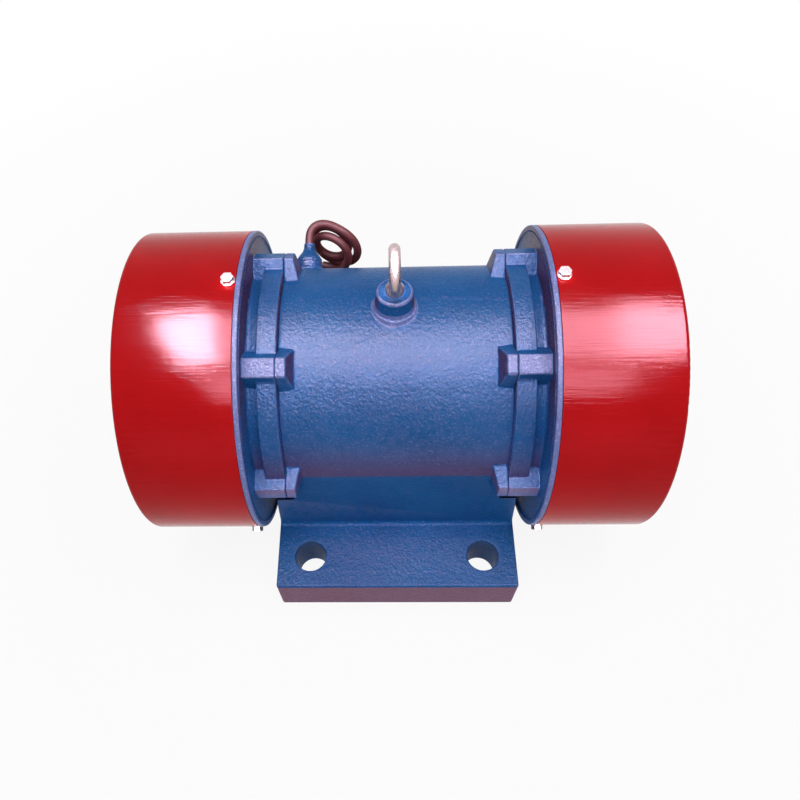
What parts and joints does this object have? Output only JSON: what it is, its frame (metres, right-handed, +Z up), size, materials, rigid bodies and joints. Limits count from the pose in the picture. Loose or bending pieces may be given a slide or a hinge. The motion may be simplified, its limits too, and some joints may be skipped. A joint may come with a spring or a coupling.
{
  "type": "vibration motor",
  "caption": "Foot-mounted unbalanced vibration motor: ribbed barrel housing on a pedestal foot, round weight covers at both ends, lifting eyebolt and cable gland.",
  "frame": {"origin": "centre of the foot's underside", "axes": "+X along the shaft, towards the right cover; +Z up, away from the mounting surface; -Y is the front"},
  "size_m": [0.3832, 0.295, 0.2755],
  "materials": {
    "blue_casting": "gloss",
    "red_cover": "gloss",
    "rubber": "matte",
    "zinc_steel": "satin",
    "bearing_steel": "polished",
    "cage_brass": "satin",
    "cap_iron": "machined",
    "ground_steel": "ground",
    "core_steel": "laminated",
    "rotor_aluminium": "as cast",
    "copper": "enamelled copper",
    "weight_iron": "machined"
  },
  "bodies": {
    "frame": {"bearing_cap_bolts_left": "zinc_steel", "bearing_cap_bolts_right": "zinc_steel", "bearing_outer_ring_left": "bearing_steel", "bearing_outer_ring_right": "bearing_steel", "cable_coil": "rubber", "cable_cores": "copper", "cable_in_gland": "rubber", "cable_tail": "rubber", "cover_left": "red_cover", "cover_right": "red_cover", "cover_screws_left": "zinc_steel", "cover_screws_right": "zinc_steel", "cover_seal_left": "rubber", "cover_seal_right": "rubber", "cover_washers_left": "zinc_steel", "cover_washers_right": "zinc_steel", "end_shield_bolts_left": "zinc_steel", "end_shield_bolts_right": "zinc_steel", "end_shield_left": "blue_casting", "end_shield_right": "blue_casting", "gland_body": "blue_casting", "gland_cone": "blue_casting", "gland_seal": "rubber", "housing": "blue_casting", "inner_bearing_cap_left": "cap_iron", "inner_bearing_cap_right": "cap_iron", "lifting_eyebolt": "zinc_steel", "outer_bearing_cap_left": "cap_iron", "outer_bearing_cap_right": "cap_iron", "power_cable": "rubber", "spring_washers_left": "zinc_steel", "spring_washers_right": "zinc_steel", "stator_core": "core_steel", "stator_winding": "copper", "winding_leads": "copper"},
    "rotor": {"shaft": "ground_steel", "rotor_core": "core_steel", "rotor_cage": "rotor_aluminium", "spacer_sleeve_left": "ground_steel", "spacer_sleeve_right": "ground_steel", "bearing_inner_ring_left": "bearing_steel", "bearing_inner_ring_right": "bearing_steel", "fixed_weight_left": "weight_iron", "fixed_weight_right": "weight_iron", "weight_key_left": "ground_steel", "weight_key_right": "ground_steel", "fixed_weight_bolt_left": "zinc_steel", "fixed_weight_bolt_right": "zinc_steel", "retaining_ring_left": "ground_steel", "retaining_ring_right": "ground_steel"},
    "adjustable_weight_set_left": {"adjustable_weight_left": "weight_iron", "adjustable_weight_bolt_left": "zinc_steel"},
    "roller_set_left": {"bearing_cage_left": "cage_brass", "bearing_rollers_left": "bearing_steel"},
    "adjustable_weight_set_right": {"adjustable_weight_right": "weight_iron", "adjustable_weight_bolt_right": "zinc_steel"},
    "roller_set_right": {"bearing_cage_right": "cage_brass", "bearing_rollers_right": "bearing_steel"}
  },
  "joints": [
    {"name": "rotor_spin", "type": "hinge", "parent": "frame", "child": "rotor", "pos_m": [0, 0, 0.13], "axis": [1, 0, 0], "continuous": true},
    {"name": "weight_setting_left", "type": "hinge", "parent": "rotor", "child": "adjustable_weight_set_left", "pos_m": [0, 0, 0.13], "axis": [-1, 0, 0], "range_deg": [0, 180]},
    {"name": "roller_set_spin_left", "type": "hinge", "parent": "frame", "child": "roller_set_left", "pos_m": [0, 0, 0.13], "axis": [1, 0, 0], "continuous": true},
    {"name": "weight_setting_right", "type": "hinge", "parent": "rotor", "child": "adjustable_weight_set_right", "pos_m": [0, 0, 0.13], "axis": [1, 0, 0], "range_deg": [0, 180]},
    {"name": "roller_set_spin_right", "type": "hinge", "parent": "frame", "child": "roller_set_right", "pos_m": [0, 0, 0.13], "axis": [1, 0, 0], "continuous": true}
  ],
  "couplings": [
    {"joint": "roller_set_spin_left", "follows": "rotor_spin", "ratio": 0.4},
    {"joint": "roller_set_spin_right", "follows": "rotor_spin", "ratio": 0.4}
  ]
}
